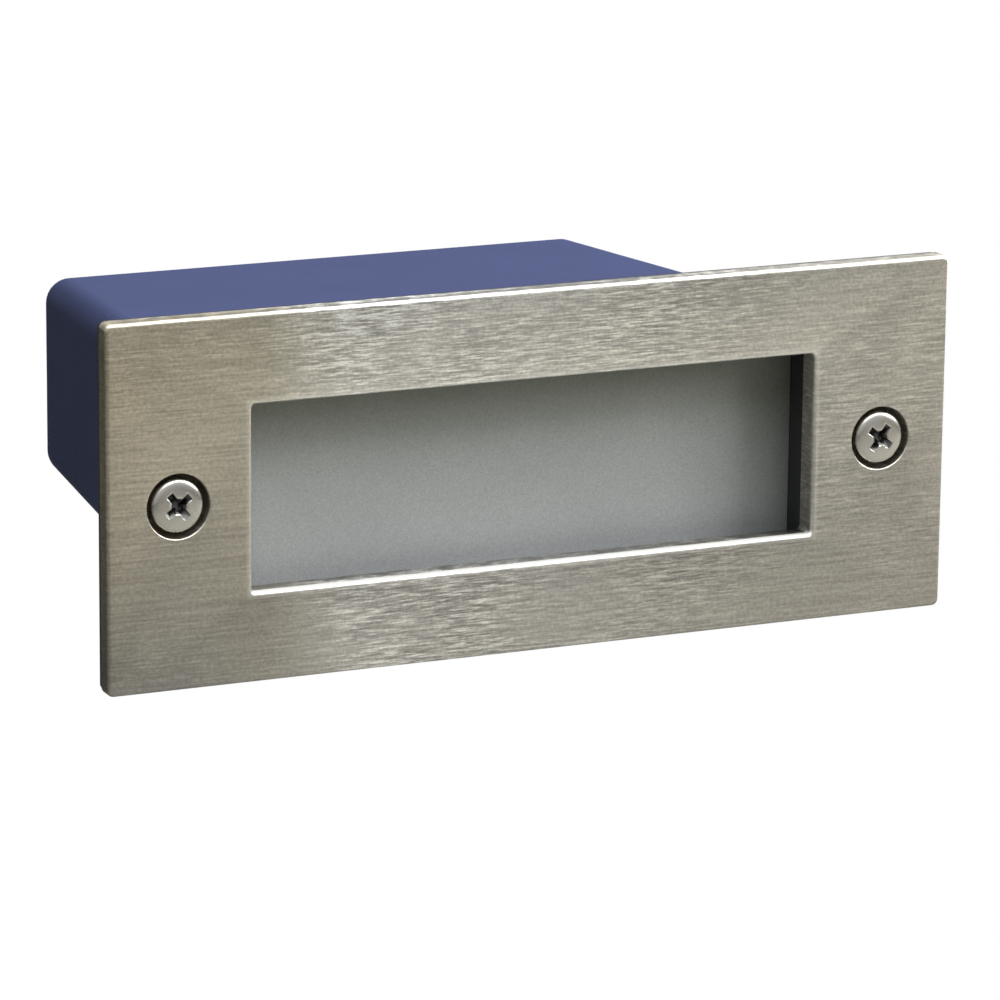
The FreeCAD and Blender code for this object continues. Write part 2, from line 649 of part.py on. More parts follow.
def led_wire(offset):
    """From the driver's board, forwards through the divider, and up onto the lamps' board."""
    pad_x = DRIVER_X - DRIVER_W / 2 + 2.0
    x = WIRE_HOLE_X + offset
    z = WIRE_HOLE_Z + offset
    turn_y = (DRIVER_Y + DIVIDER_BACK) / 2
    board_front = DIVIDER_FRONT - PAD_T - BOARD_T
    pad_z = LED_Z - BOARD_H / 2 + 2.2
    return wire_along([point(pad_x, DRIVER_Y, z), point(pad_x, turn_y, z), point(x, turn_y, z),
                       point(x, board_front - 2.5, z), point(x, board_front - 2.5, pad_z),
                       point(x, board_front, pad_z)])


def earth_wire():
    pole_x = terminal_poles()[2]
    level = DIVIDER_BACK + WIRE_LEVEL
    tag_y = DIVIDER_BACK + 1.4
    return wire_along([point(pole_x, level, -3.0), point(pole_x, level, -11.0),
                       point(EARTH_X, tag_y, -11.0), point(EARTH_X, tag_y, -6.6)])


def earth_tag():
    """A ring terminal: the ring under the screw, and the barrel crimped on the wire."""
    ring = rod(3.4, DIVIDER_BACK, DIVIDER_BACK + EARTH_TAG_T, EARTH_X)
    neck = box(EARTH_X - 1.4, EARTH_X + 1.4, DIVIDER_BACK, DIVIDER_BACK + EARTH_TAG_T, -6.6, -2.0)
    barrel = Part.makeCylinder(1.4, 3.0, point(EARTH_X, DIVIDER_BACK + 1.4, -7.0), point(0, 0, 1))
    wire_hole = Part.makeCylinder(WIRE_R, 3.0, point(EARTH_X, DIVIDER_BACK + 1.4, -9.6), point(0, 0, 1))
    screw_hole = rod(2.0, DIVIDER_BACK, DIVIDER_BACK + EARTH_TAG_T, EARTH_X)
    return ring.fuse([neck, barrel]).cut([screw_hole, wire_hole])


def earth_screw():
    head_front = DIVIDER_BACK + EARTH_TAG_T
    shank = rod(2.0, DIVIDER_FRONT + 0.5, head_front, EARTH_X)
    head = rod(3.5, head_front, head_front + 2.0, EARTH_X)
    slot = box(EARTH_X - 3.6, EARTH_X + 3.6, head_front + 1.0, head_front + 2.0, -0.4, 0.4)
    return shank.fuse(head).cut(slot)


def wire_grommet():
    bore = 2.4
    groove = 3.0
    lip = 4.0
    front = DIVIDER_FRONT - 1.0
    back = DIVIDER_BACK + 1.0
    profile = [(bore, front), (lip, front), (lip, DIVIDER_FRONT), (groove, DIVIDER_FRONT),
               (groove, DIVIDER_BACK), (lip, DIVIDER_BACK), (lip, back), (bore, back)]
    return turned(profile, WIRE_HOLE_X, WIRE_HOLE_Z)


# ---- Face screws ----

def cross_wing(x, turn):
    """One blade of the cross recess, narrowing as it goes down."""
    wires = []
    for y, span, width in ((HEAD_FRONT - 2 * HEAD_DOME, CROSS_SPAN * 1.1, CROSS_WIDTH * 1.05),
                           (HEAD_FRONT + CROSS_DEPTH, CROSS_SPAN * 0.42, CROSS_WIDTH * 0.7)):
        corners = [point(x + sx * span / 2, y, sz * width / 2)
                   for sx, sz in ((1, 1), (-1, 1), (-1, -1), (1, -1))]
        wires.append(Part.makePolygon(corners + corners[:1]))
    wing = Part.makeLoft(wires, True, True)
    wing.rotate(point(x, 0, 0), ALONG_Y, turn)
    return wing


def face_screw(name, side):
    x = side * SCREW_X
    shoulder = HEAD_FRONT + 0.9
    crown = Part.Arc(point(x, HEAD_FRONT - HEAD_DOME, 0), point(x + 2.4, HEAD_FRONT - HEAD_DOME * 0.77, 0),
                     point(x + HEAD_R - 0.7, HEAD_FRONT, 0))
    corner = Part.Arc(point(x + HEAD_R - 0.7, HEAD_FRONT, 0), point(x + HEAD_R - 0.17, HEAD_FRONT + 0.28, 0),
                      point(x + HEAD_R, shoulder, 0))
    rest = [point(x + radius, y, 0) for radius, y in
            [(HEAD_R, shoulder), (HEAD_R, RING_FRONT - 0.3), (HEAD_R - 0.3, RING_FRONT),
             (SCREW_R, RING_FRONT), (SCREW_R, SHANK_END - 0.8), (SCREW_R - 0.8, SHANK_END),
             (0, SHANK_END), (0, HEAD_FRONT - HEAD_DOME)]]
    outline = Part.Wire([crown.toShape(), corner.toShape()] + Part.makePolygon(rest).Edges)
    screw = Part.Face(outline).revolve(point(x, 0, 0), ALONG_Y, 360)
    for quarter in (0, 90):
        screw = screw.cut(cross_wing(x, CROSS_TURN[name] + quarter))
    return screw


def screw_ring(side):
    return tube(RING_R, SCREW_R + RUN_GAP, RING_FRONT, DISH_FLOOR, side * SCREW_X)


def build():
    return {
        "recess_box": recess_box(),
        "screw_inserts": both_sides(screw_insert),
        "cable_grommet": cable_grommet(),
        "blanking_plug": blanking_plug(),
        "face_plate": face_plate(),
        "wall_gasket": wall_gasket(),
        "lamp_frame": lamp_frame(),
        "glass_seal": glass_seal(),
        "lens_glass": lens_glass(),
        "plate_studs": four_corners(plate_stud, STUD_X, STUD_Z),
        "stud_washers": four_corners(stud_washer, STUD_X, STUD_Z),
        "stud_nuts": four_corners(stud_nut, STUD_X, STUD_Z),
        "flange_gasket": flange_gasket(),
        "lamp_body": lamp_body(),
        "reflector": reflector(),
        "heat_pad": heat_pad(),
        "led_board": led_board(),
        "led_chips": led_chips(),
        "board_screws": both_sides(board_screw),
        "cover_gasket": cover_gasket(),
        "rear_cover": rear_cover(),
        "cover_screws": four_corners(cover_screw, COVER_SCREW_X, COVER_SCREW_Z),
        "gland_body": gland_body(),
        "gland_locknut": gland_locknut(),
        "gland_seal": gland_seal(),
        "gland_nut": gland_nut(),
        "driver_board": driver_board(),
        "driver_spacers": driver_spacers(),
        "transformer": transformer(),
        "capacitors": capacitors(),
        "terminal_block": terminal_block(),
        "terminal_screws": terminal_screws(),
        "live_wire": supply_wire(0, 9.5),
        "neutral_wire": supply_wire(1, -9.5),
        "led_wire_positive": led_wire(WIRE_APART),
        "led_wire_negative": led_wire(-WIRE_APART),
        "earth_wire": earth_wire(),
        "earth_tag": earth_tag(),
        "earth_screw": earth_screw(),
        "wire_grommet": wire_grommet(),
        "left_screw": face_screw("left", -1),
        "right_screw": face_screw("right", 1),
        "left_screw_ring": screw_ring(-1),
        "right_screw_ring": screw_ring(1),
    }


os.makedirs("parts", exist_ok=True)
for name, shape in build().items():
    shape.exportStep("parts/" + name + ".step")
    print(name, "valid", shape.isValid(), "solids", len(shape.Solids), "volume", round(shape.Volume, 1))
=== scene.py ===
import json
import math

import bpy
from mathutils import Matrix, Vector

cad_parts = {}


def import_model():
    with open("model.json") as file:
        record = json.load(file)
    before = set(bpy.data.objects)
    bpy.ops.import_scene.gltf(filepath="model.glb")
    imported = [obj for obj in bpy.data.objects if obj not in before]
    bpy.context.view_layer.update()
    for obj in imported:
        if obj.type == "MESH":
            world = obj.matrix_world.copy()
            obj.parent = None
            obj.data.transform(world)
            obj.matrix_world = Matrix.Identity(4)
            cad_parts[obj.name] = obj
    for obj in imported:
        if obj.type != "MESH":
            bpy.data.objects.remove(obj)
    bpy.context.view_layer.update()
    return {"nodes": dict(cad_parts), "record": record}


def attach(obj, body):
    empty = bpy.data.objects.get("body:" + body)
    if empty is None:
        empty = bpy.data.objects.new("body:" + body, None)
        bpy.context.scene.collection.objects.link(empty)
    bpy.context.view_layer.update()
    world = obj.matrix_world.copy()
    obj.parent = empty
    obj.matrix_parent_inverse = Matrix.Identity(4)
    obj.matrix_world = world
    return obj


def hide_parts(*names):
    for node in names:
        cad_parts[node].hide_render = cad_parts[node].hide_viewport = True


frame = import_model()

nodes = frame["nodes"]

# Face plate and its window, in millimetres
PLATE_FRONT = -5.0
WINDOW_HALF_W = 58.0
WINDOW_HALF_H = 17.85
WINDOW_CORNER = 1.0
PRESS_ROUND = 0.9
FACE_SCREW_X = 72.5

# Inside the light, in millimetres; a place is across and up
CHIP_COUNT = 12
CHIP_PITCH = 7.4
CHIP_FRONT = 39.5
CHIP_ROW = 6.5
CHIP_SIZE = (3.5, 0.8, 2.8)
BOARD_SCREWS = [(-47.5, 6.5), (47.5, 6.5)]
TERMINAL_SCREWS = [(20.5, 0.0), (28.0, 0.0), (35.5, 0.0)]
EARTH_SCREW = (44.0, 0.0)
COVER_SCREWS = [(side * 50.0, level * 11.0) for side in (-1, 1) for level in (-1, 1)]
PLATE_STUDS = [(side * 63.4, level * 14.0) for side in (-1, 1) for level in (-1, 1)]
GLAND_X = 28.0

# Modelling
MM = 0.001
SMOOTH = 35.0
PLATE_SMOOTH = 25.0
NUT_EDGES = 40.0
SAME_POINT = 1e-6
HEXAGON = 6
GLAND_SIDES = 64

# Ranges that a spread is given
RISING = (0.0, 1.0)
FALLING = (1.0, 0.0)
MIDDLE_OF_NOISE = (0.3, 0.7)

# Steel of the face plate: places in metres, and tones along it from the left end, with painted
# light and shade in them
PLATE_LENGTH = (-0.0865, 0.0865)
PLATE_HEIGHT = (-0.035, 0.033)
# Painted light from above: the steel is darker low down and paler towards the top
PAINTED_LIGHT_UPWARDS = (0.67, 1.07)
# A painted highlight band a quarter of the way along, over the steel's warm cast at both ends
CAST_AND_PAINTED_SHEEN_ALONG = [(0.0, (0.50, 0.455, 0.355)), (0.18, (0.54, 0.50, 0.41)),
               (0.27, (0.73, 0.71, 0.67)), (0.5, (0.635, 0.618, 0.58)),
               (0.78, (0.56, 0.535, 0.485)), (1.0, (0.54, 0.51, 0.45))]
# Painted shade low down the left end: darker and cooler at the bottom, a little paler above the
# middle
PAINTED_SHADE_LEFT_END = (-0.072, -0.042)
PAINTED_SHADE_LEFT_HEIGHT = (-0.035, 0.035)
PAINTED_SHADE_UP_THE_LEFT = [(0.0, (0.80, 0.845, 0.98)), (0.25, (0.94, 0.96, 1.04)),
                     (0.55, (1.10, 1.10, 1.14)), (0.85, (0.99, 0.98, 0.98))]
CLEAR_BRUSHING = [(0.16, 0.3), (0.28, 1.0), (0.62, 0.9), (0.85, 0.45)]

# Painted highlight on the window's round, and a painted highlight as a pale, hardly metallic
# strip on its lower wall, in metres
EDGE_HIGHLIGHT = (0.32, 0.0)
EDGE_HIGHLIGHT_AWAY = (0.0004, 0.0014)
EDGE_HIGHLIGHT_DEPTH = (-0.0042, -0.0038)
EDGE_HIGHLIGHT_TONE = (0.95, 0.93, 0.89)
LIP_HIGHLIGHT_ACROSS = (0.0576, 0.0580)
LIP_HIGHLIGHT_BELOW = (0.0003, 0.0005)
LIP_HIGHLIGHT_DEPTH = (-0.0035, -0.0030)
LIP_HIGHLIGHT_TONE = (0.93, 0.92, 0.89)
LIP_HIGHLIGHT_METALLIC = (1.0, 0.1)

# Painted shadow and painted reflection of the window's walls on the glass, from left to right in
# metres, leaning with the height
GLASS_LEAN = 0.22
GLASS_SHADED = (0.030, 0.060)
GLASS_SHADE = [(0.0, 1.0), (0.6, 0.86), (1.0, 0.46)]

# Camera, in metres and degrees, in the frame of the light
CAMERA_AT = Vector((-0.4211, -0.9168, 0.2470))
CAMERA_TURN = 24.37
CAMERA_TILT = 14.12
CAMERA_ROLL = -0.59
CAMERA_LENS = 198.0
CAMERA_SENSOR = 36.0
CAMERA_NEAR = 0.05

# Floor
FLOOR_LEVEL = -0.30
FLOOR_SIZE = 8.0
FLOOR_COLOUR = (0.74, 0.725, 0.69)
FLOOR_BOUNCE = (0.32, 0.335, 0.24)
FLOOR_BACKWARDS = (-0.2, 0.5)
FLOOR_DARKER = (1.0, 0.3)

# Room: the fill on plain surfaces, and what shiny ones see in each direction
FILL = 0.065
FILL_COLOUR = (1.0, 1.05, 0.6)
ROOM_COLOUR = (0.97, 0.985, 1)
ROOM_LOW = 0.36
ROOM_HIGH = 0.80
ROOM_RISES = (-0.9, 0.5)
CEILING = 2.6
CEILING_RISES = (0.55, 0.8)
BEHIND = 0.5
TURNS_BEHIND = (0.1, 0.7)

# Softboxes: name, place and size in metres, power in watts, colour
SOFTBOXES = [
    ("overhead", Vector((0.02, -0.45, 1.1)), 1.0, 10.2, (0.93, 0.97, 1.0)),
    ("key", Vector((1.40, -0.70, 0.95)), 1.2, 34.0, (1.0, 0.99, 0.97)),
    ("back", Vector((1.3, 1.0, -0.02)), 0.45, 12.0, (0.97, 0.98, 1.0)),
]


# ---- Shader helpers ----

def new_material(name, colour, roughness, metallic=0.0):
    """A Principled material; returns it with its tree and shader."""
    material = bpy.data.materials.new(name)
    material.use_nodes = True
    tree = material.node_tree
    shader = tree.nodes["Principled BSDF"]
    shader.inputs["Base Color"].default_value = (*colour, 1)
    shader.inputs["Roughness"].default_value = roughness
    shader.inputs["Metallic"].default_value = metallic
    return material, tree, shader


def node(tree, kind, inputs=None, **settings):
    """A shader node; inputs maps a socket to a value or to the output that feeds it."""
    made = tree.nodes.new("ShaderNode" + kind)
    for key, value in settings.items():
        setattr(made, key, value)
    for key, value in (inputs or {}).items():
        if isinstance(value, bpy.types.NodeSocket):
            tree.links.new(value, made.inputs[key])
        else:
            made.inputs[key].default_value = value
    return made


def feed(tree, shader, values):
    """Links outputs to inputs of a shader, by their names."""
    for key, value in values.items():
        tree.links.new(value, shader.inputs[key])


def place_on(tree, kind="Object"):
    """X, Y and Z of the point that is shaded, in metres, or of a direction."""
    return node(tree, "SeparateXYZ", {0: node(tree, "TexCoord").outputs[kind]}).outputs


def maths(tree, operation, *values):
    """The result of an operation on one or two values."""
    return node(tree, "Math", dict(enumerate(values)), operation=operation).outputs[0]


def product(tree, *factors):
    """The product of two or more values."""
    result = factors[0]
    for factor in factors[1:]:
        result = maths(tree, "MULTIPLY", result, factor)
    return result


def noise(tree, scale, detail=2.0, roughness=0.5, stretch=(1, 1, 1)):
    """Noise on object coordinates in metres, finer by stretch along each axis."""
    coordinates = node(tree, "TexCoord").outputs["Object"]
    place = node(tree, "Mapping", {"Vector": coordinates, "Scale": stretch}).outputs["Vector"]
    made = node(tree, "TexNoise", {"Vector": place, "Scale": scale, "Detail": detail,
                                   "Roughness": roughness})
    return made.outputs["Fac"]


def ramp(tree, value, stops):
    """stops holds (place, colour) pairs; a colour is a grey level or three numbers."""
    made = node(tree, "ValToRGB", {"Fac": value})
    elements = made.color_ramp.elements
    while len(elements) < len(stops):
        elements.new(0.5)
    for element, (place, colour) in zip(elements, stops):
        element.position = place
        element.color = (*(colour if isinstance(colour, tuple) else (colour,) * 3), 1)
    return made.outputs["Color"]


def spread(tree, value, source, target):
    """Takes the range source to the range target, and holds its ends beyond them."""
    made = node(tree, "MapRange", {"Value": value, "From Min": source[0], "From Max": source[1],
                                   "To Min": target[0], "To Max": target[1]})
    return made.outputs["Result"]


def mixed(tree, factor, a, b, blend_type="MIX"):
    """Two colours mixed; each is three numbers or an output."""
    made = node(tree, "Mix", {"Factor": factor}, data_type="RGBA", blend_type=blend_type)
    for key, value in ((6, a), (7, b)):
        if isinstance(value, bpy.types.NodeSocket):
            tree.links.new(value, made.inputs[key])
        else:
            made.inputs[key].default_value = (*value, 1)
    return made.outputs[2]


def times(tree, a, b):
    """One colour multiplied by another."""
    return mixed(tree, 1.0, a, b, "MULTIPLY")


def bump(tree, shader, height, distance):
    """Relief from a height between 0 and 1, with its depth in metres."""
    made = node(tree, "Bump", {"Height": height, "Distance": distance, "Strength": 1.0})
    feed(tree, shader, {"Normal": made.outputs["Normal"]})


# ---- Finishes ----

def moulded(name, colour, roughness, grain=0.00005, grain_scale=2500.0, specular=0.5,
            speckle=0.12):
    """Moulded plastic or rubber: a fine grain, with slight mottling in colour and gloss."""
    material, tree, shader = new_material(name, colour, roughness)
    shader.inputs["Specular IOR Level"].default_value = specular
    mottle = noise(tree, scale=45.0, detail=4.0)
    fine = noise(tree, scale=grain_scale, detail=2.0)
    darker = tuple(c * 0.88 for c in colour)
    lighter = tuple(min(1.0, c * 1.1) for c in colour)
    specks = ramp(tree, fine, [(0.3, 1 - speckle), (0.7, 1 + speckle)])
    gloss = (roughness * 0.9, min(1.0, roughness * 1.15))
    feed(tree, shader, {
        "Base Color": times(tree, mixed(tree, mottle, darker, lighter), specks),
        "Roughness": spread(tree, fine, MIDDLE_OF_NOISE, gloss)})
    bump(tree, shader, fine, grain)
    return material


def plain_metal(name, colour, roughness):
    """Machined or plated metal, with fine marks and cloudy gloss."""
    material, tree, shader = new_material(name, colour, roughness, metallic=1.0)
    cloud = noise(tree, scale=120.0, detail=5.0)
    darker = tuple(c * 0.9 for c in colour)
    lighter = tuple(min(1, c * 1.06) for c in colour)
    gloss = (roughness * 0.8, roughness * 1.3)
    feed(tree, shader, {
        "Base Color": mixed(tree, cloud, darker, lighter),
        "Roughness": spread(tree, cloud, MIDDLE_OF_NOISE, gloss)})
    bump(tree, shader, noise(tree, scale=900.0, detail=3.0), 0.00001)
    return material


def painted_edge_highlight(tree, place):
    """How strong the painted highlight is: a pale tone on the round of the window's edge."""
    across = maths(tree, "ABSOLUTE", place["X"])
    up = maths(tree, "ABSOLUTE", place["Z"])
    beside = maths(tree, "SUBTRACT", across, WINDOW_HALF_W * MM)
    over = maths(tree, "SUBTRACT", up, WINDOW_HALF_H * MM)
    away = maths(tree, "MAXIMUM", beside, over)
    return product(tree, spread(tree, away, EDGE_HIGHLIGHT_AWAY, EDGE_HIGHLIGHT),
                   spread(tree, place["Y"], EDGE_HIGHLIGHT_DEPTH, FALLING))


def painted_lip_highlight(tree, place):
    """A painted highlight on the window's lower wall: a pale, hardly metallic strip where the
    light from above shows.
    """
    across = maths(tree, "ABSOLUTE", place["X"])
    below = maths(tree, "ADD", place["Z"], WINDOW_HALF_H * MM)
    below = maths(tree, "ABSOLUTE", below)
    return product(tree, spread(tree, across, LIP_HIGHLIGHT_ACROSS, FALLING),
                   spread(tree, below, LIP_HIGHLIGHT_BELOW, FALLING),
                   spread(tree, place["Y"], LIP_HIGHLIGHT_DEPTH, FALLING))


def steel_tone_and_painted_light(tree, place, along):
    """The steel's warm cast with painted light and shade: warm at both ends, a painted highlight
    band along it, painted light paler upwards, and painted shade darker and cooler low down its
    left end.
    """
    # Painted highlight band a quarter of the way along, over the warm cast at both ends
    tone = ramp(tree, along, CAST_AND_PAINTED_SHEEN_ALONG)
    # Painted light from above: darker low down, paler upwards
    tone = times(tree, tone, spread(tree, place["Z"], PLATE_HEIGHT, PAINTED_LIGHT_UPWARDS))
    # Painted shade low down the left end, darker and cooler there
    left = spread(tree, place["X"], PAINTED_SHADE_LEFT_END, FALLING)
    level = spread(tree, place["Z"], PAINTED_SHADE_LEFT_HEIGHT, RISING)
    tone = mixed(tree, left, tone, times(tree, tone, ramp(tree, level, PAINTED_SHADE_UP_THE_LEFT)))
    drift = noise(tree, scale=1.0, detail=2.0, roughness=0.5, stretch=(14, 14, 9))
    return times(tree, tone, ramp(tree, drift, [(0.35, 0.93), (0.65, 1.06)]))


def brushing(tree, tone, along, streaks):
    """Fine lines along the steel, clearest in the middle and worn away in patches."""
    worn = noise(tree, scale=1.0, detail=2.0, roughness=0.5, stretch=(24, 24, 40))
    clear = product(tree, ramp(tree, worn, [(0.38, 0.35), (0.58, 1.0)]),
                    ramp(tree, along, CLEAR_BRUSHING))
    lined = times(tree, tone, ramp(tree, streaks, [(0.36, 0.55), (0.5, 0.97), (0.66, 1.75)]))
    tone = mixed(tree, clear, tone, lined)
    long_streaks = noise(tree, scale=1.0, detail=2.0, roughness=0.5, stretch=(40, 200, 1800))
    return times(tree, tone, ramp(tree, long_streaks, [(0.35, 0.88), (0.65, 1.10)]))


def brushed_steel(name):
    """Stainless steel brushed along its length, with a faint warm cast that drifts across it, and
    painted light and shade in its colour: a painted sheen, and painted highlights on the window's
    round and lower wall.
    """
    material, tree, shader = new_material(name, (0.42, 0.40, 0.34), 0.36, metallic=1.0)
    shader.inputs["Anisotropic"].default_value = 0.6
    place = place_on(tree)
    along = spread(tree, place["X"], PLATE_LENGTH, RISING)
    streaks = noise(tree, scale=1.0, detail=3.0, roughness=0.6, stretch=(300, 500, 3400))
    mottle = noise(tree, scale=1400.0, detail=3.0, roughness=0.6)
    # Painted highlight: a pale, hardly metallic strip on the window's lower wall
    lip_highlight = painted_lip_highlight(tree, place)
    tone = brushing(tree, steel_tone_and_painted_light(tree, place, along), along, streaks)
    tone = times(tree, tone, ramp(tree, mottle, [(0.35, 0.86), (0.65, 1.12)]))
    # Painted highlight: a pale tone on the round of the window's edge
    tone = mixed(tree, painted_edge_highlight(tree, place), tone, EDGE_HIGHLIGHT_TONE)
    feed(tree, shader, {
        "Base Color": mixed(tree, lip_highlight, tone, LIP_HIGHLIGHT_TONE),
        "Metallic": spread(tree, lip_highlight, RISING, LIP_HIGHLIGHT_METALLIC),
        "Roughness": spread(tree, streaks, MIDDLE_OF_NOISE, (0.30, 0.44)),
        "Tangent": node(tree, "Tangent", direction_type="RADIAL", axis="Z").outputs["Tangent"]})
    bump(tree, shader, mottle, 0.000006)
    return material


def frosted_glass(name):
    """Frosted glass with a fine grain, darkened toward its right end and top by painted shadow
    and painted reflection of the window's walls.
    """
    material, tree, shader = new_material(name, (0.42, 0.45, 0.48), 0.5)
    shader.inputs["Transmission Weight"].default_value = 0.12
    shader.inputs["IOR"].default_value = 1.5
    shader.inputs["Specular IOR Level"].default_value = 0.3
    grain = noise(tree, scale=3600.0, detail=3.0, roughness=0.7)
    cloud = noise(tree, scale=60.0, detail=3.0)
    tone = mixed(tree, cloud, (0.455, 0.468, 0.49), (0.53, 0.542, 0.56))
    tone = times(tree, tone, ramp(tree, grain, [(0.3, 0.80), (0.7, 1.18)]))
    place = place_on(tree)
    # Painted shadow and painted reflection of the walls: darker toward the right end and top
    towards = maths(tree, "ADD", place["X"], maths(tree, "MULTIPLY", place["Z"], GLASS_LEAN))
    shade = ramp(tree, spread(tree, towards, GLASS_SHADED, RISING), GLASS_SHADE)
    feed(tree, shader, {"Base Color": times(tree, tone, shade)})
    bump(tree, shader, grain, 0.00001)
    return material


def dark_casting(name):
    """Cast metal with a dark, finely pitted coat."""
    material, tree, shader = new_material(name, (0.02, 0.021, 0.023), 0.5)
    speckle = noise(tree, scale=1800.0, detail=3.0)
    tone = mixed(tree, speckle, (0.014, 0.015, 0.017), (0.03, 0.031, 0.034))
    feed(tree, shader, {"Base Color": tone})
    bump(tree, shader, speckle, 0.00008)
    return material


FINISHES = {
    "brushed_steel": (brushed_steel, {}),
    "screw_steel": (plain_metal, dict(colour=(0.46, 0.44, 0.40), roughness=0.26)),
    # Painted shade: a dark steel in the face screws' cross recess and pit, standing for the shade
    # in them
    "recess_painted_shade": (plain_metal, dict(colour=(0.09, 0.088, 0.085), roughness=0.34)),
    "blue_plastic": (moulded, dict(colour=(0.064, 0.08, 0.19), roughness=0.6, grain=0.00003,
                                   grain_scale=2600.0, specular=0.15, speckle=0.24)),
    "dark_casting": (dark_casting, {}),
    "frosted_glass": (frosted_glass, {}),
    "seal_rubber": (moulded, dict(colour=(0.018, 0.018, 0.018), roughness=0.75)),
    "reflector_metal": (plain_metal, dict(colour=(0.85, 0.85, 0.85), roughness=0.25)),
    "board_white": (moulded, dict(colour=(0.72, 0.72, 0.69), roughness=0.35, grain=0.00001)),
    "board_green": (moulded, dict(colour=(0.02, 0.13, 0.06), roughness=0.3, grain=0.00001)),
    "lamp_yellow": (moulded, dict(colour=(0.75, 0.55, 0.08), roughness=0.4, grain=0.00001)),
    "pad_grey": (moulded, dict(colour=(0.25, 0.26, 0.28), roughness=0.8)),
    "brass": (plain_metal, dict(colour=(0.62, 0.43, 0.17), roughness=0.3)),
    "zinc_steel": (plain_metal, dict(colour=(0.58, 0.58, 0.56), roughness=0.28)),
    "black_nylon": (moulded, dict(colour=(0.018, 0.018, 0.02), roughness=0.5)),
    "white_nylon": (moulded, dict(colour=(0.66, 0.66, 0.61), roughness=0.5)),
    "copper_winding": (plain_metal, dict(colour=(0.5, 0.2, 0.07), roughness=0.3)),
    "brown_insulation": (moulded, dict(colour=(0.12, 0.04, 0.02), roughness=0.4)),
    "blue_insulation": (moulded, dict(colour=(0.02, 0.1, 0.45), roughness=0.4)),
    "earth_insulation": (moulded, dict(colour=(0.16, 0.42, 0.03), roughness=0.4)),
    "red_insulation": (moulded, dict(colour=(0.45, 0.02, 0.02), roughness=0.4)),
    "black_insulation": (moulded, dict(colour=(0.02, 0.02, 0.02), roughness=0.4)),
}


def dress_nodes():
    """Give every node its slot's material."""
    for part in frame["record"]["subparts"]:
        shown = nodes[part["node"]].data.materials
        shown.clear()
        shown.append(made_materials[part["material_slot"]])


# ---- Modelling, in millimetres ----

def started(operator, **settings):
    """A primitive on its own, in edit mode with everything selected."""
    bpy.ops.object.select_all(action="DESELECT")
    operator(**settings)
    bpy.ops.object.mode_set(mode="EDIT")
    bpy.ops.mesh.select_all(action="SELECT")
    return bpy.context.object


def ended(made, name):
    """Outward normals, out of edit mode, its place in its mesh, smooth where it curves."""
    bpy.ops.mesh.select_all(action="SELECT")
    bpy.ops.mesh.normals_make_consistent(inside=False)
    bpy.ops.object.mode_set(mode="OBJECT")
    bpy.ops.object.transform_apply(location=True, rotation=True, scale=True)
    bpy.ops.object.shade_smooth_by_angle(angle=math.radians(SMOOTH))
    made.name = name
    return made


def alone(made):
    """Makes a piece the only one selected, and the active one."""
    bpy.ops.object.select_all(action="DESELECT")
    made.select_set(True)
    bpy.context.view_layer.objects.active = made


def applied(made, kind, **settings):
    """Adds a modifier to the active piece, sets it and applies it."""
    modifier = made.modifiers.new("change", kind)
    for key, value in settings.items():
        setattr(modifier, key, value)
    bpy.ops.object.modifier_apply(modifier=modifier.name)


def chosen_edges(made, wanted):
    """Selects the edges whose two ends are wanted together; stays in edge select mode."""
    bpy.ops.mesh.select_mode(type="EDGE")
    bpy.ops.mesh.select_all(action="DESELECT")
    bpy.ops.object.mode_set(mode="OBJECT")
    mesh = made.data
    for edge in mesh.edges:
        edge.select = wanted(*(mesh.vertices[i].co for i in edge.vertices))
    bpy.ops.object.mode_set(mode="EDIT")


def turned(name, stations, x, z, sides):
    """A solid turned about a line along Y: stations are (radius, y) pairs, end to end."""
    radius, y = stations[0]
    made = started(bpy.ops.mesh.primitive_circle_add, vertices=sides, radius=radius * MM,
                   fill_type="NGON", location=(x * MM, y * MM, z * MM),
                   rotation=(math.radians(90), 0, 0))
    for next_radius, next_y in stations[1:]:
        bpy.ops.mesh.extrude_region_move(
            TRANSFORM_OT_translate={"value": (0, (next_y - y) * MM, 0)})
        factor = next_radius / radius
        bpy.ops.transform.resize(value=(factor, 1, factor),
                                 center_override=(x * MM, next_y * MM, z * MM))
        radius, y = next_radius, next_y
    return ended(made, name)


def thread(root, crest, pitch, front, back, x, z, steps):
    """A helical ridge round a line along Y, closed at both ends."""
    height = crest - root
    width = pitch * 0.85
    middle = ((root + height / 3) * MM, (front + width / 2) * MM, 0)
    made = started(bpy.ops.mesh.primitive_circle_add, vertices=3, radius=MM, location=middle,
                   rotation=(0, 0, math.radians(-90)))
    bpy.ops.transform.resize(value=(height / 1.5, width / math.sqrt(3), 1),
                             center_override=middle)
    bpy.ops.object.mode_set(mode="OBJECT")
    bpy.ops.object.transform_apply(location=True, rotation=True, scale=True)
    turns = int((back - front - width) / pitch)
    applied(made, "SCREW", axis="Y", angle=2 * math.pi, screw_offset=pitch * MM,
            iterations=turns, steps=steps, render_steps=steps)
    bpy.ops.object.mode_set(mode="EDIT")
    bpy.ops.mesh.select_all(action="DESELECT")
    bpy.ops.mesh.select_non_manifold()
    bpy.ops.mesh.fill_holes(sides=4)
    bpy.ops.mesh.select_all(action="SELECT")
    bpy.ops.transform.translate(value=(x * MM, 0, z * MM))
    return ended(made, "ridge")


